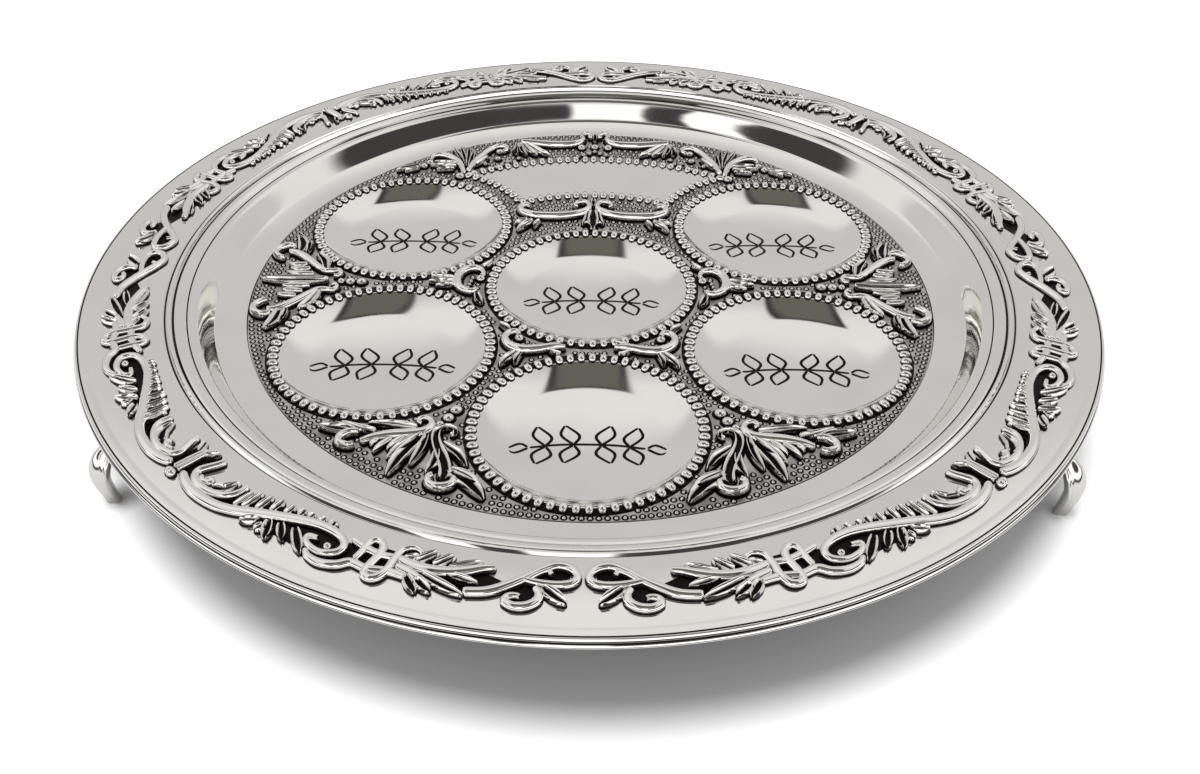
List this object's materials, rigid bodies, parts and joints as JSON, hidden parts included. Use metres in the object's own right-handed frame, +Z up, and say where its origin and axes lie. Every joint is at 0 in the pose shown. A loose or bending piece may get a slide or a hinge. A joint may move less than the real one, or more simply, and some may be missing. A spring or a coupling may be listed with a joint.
{
  "type": "seder plate",
  "caption": "Round silver-plated seder plate on cabriole feet, with dished roundels ringed in pearls, a blank cartouche and scrollwork on the rim.",
  "frame": {"origin": "on the table, under the middle of the plate", "axes": "+Z up; +Y towards the cartouche and the back foot; +X to the right of someone facing the cartouche"},
  "size_m": [0.3999, 0.4046, 0.0462],
  "materials": {
    "polished_silver": "mirror-polished silver plate",
    "oxidised_silver": "die-struck silver plate with blackened recesses and polished dishes",
    "cast_silver": "cast, silver-plated, blackened in the recesses and buffed on top",
    "fixing_steel": "plain turned metal"
  },
  "bodies": {
    "root": {"tray": "polished_silver", "medallion": "oxidised_silver", "spray_reliefs": "oxidised_silver", "pearl_border_centre": "oxidised_silver", "pearl_border_30": "oxidised_silver", "pearl_border_150": "oxidised_silver", "pearl_border_210": "oxidised_silver", "pearl_border_270": "oxidised_silver", "pearl_border_330": "oxidised_silver", "cartouche_border": "oxidised_silver", "rim_scroll_45": "cast_silver", "rim_scroll_135": "cast_silver", "rim_scroll_225": "cast_silver", "rim_scroll_315": "cast_silver", "foot_90": "cast_silver", "foot_210": "cast_silver", "foot_330": "cast_silver", "foot_bosses": "fixing_steel", "foot_screws": "fixing_steel"}
  },
  "joints": []
}
